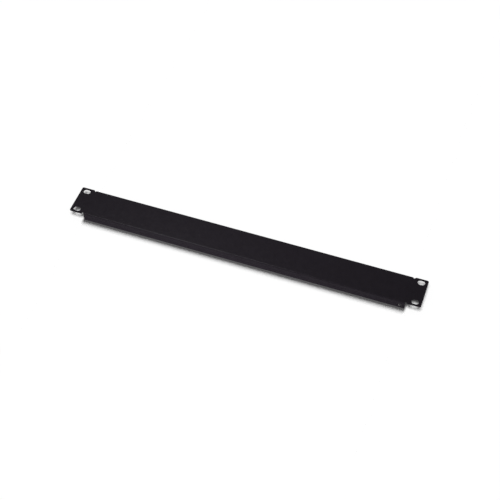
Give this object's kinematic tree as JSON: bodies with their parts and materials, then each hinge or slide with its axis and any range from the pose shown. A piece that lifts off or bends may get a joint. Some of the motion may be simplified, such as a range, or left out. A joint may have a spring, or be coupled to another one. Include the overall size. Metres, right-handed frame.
{
  "type": "rack blanking panel",
  "caption": "Flat cover of folded, black-coated sheet steel with slotted ears, which closes an unused unit of an equipment rack.",
  "frame": {"origin": "middle of the rack-screw slot pattern, on the ears' back face, which lies against the rack's rails", "axes": "+Z out of the rack, away from the rails; +X along the panel; +Y across it, towards the edge whose flange has no hook hole"},
  "size_m": [0.4826, 0.0436, 0.012],
  "materials": {
    "powder_coat": "satin"
  },
  "bodies": {
    "root": {"blanking_panel": "powder_coat"}
  },
  "joints": []
}
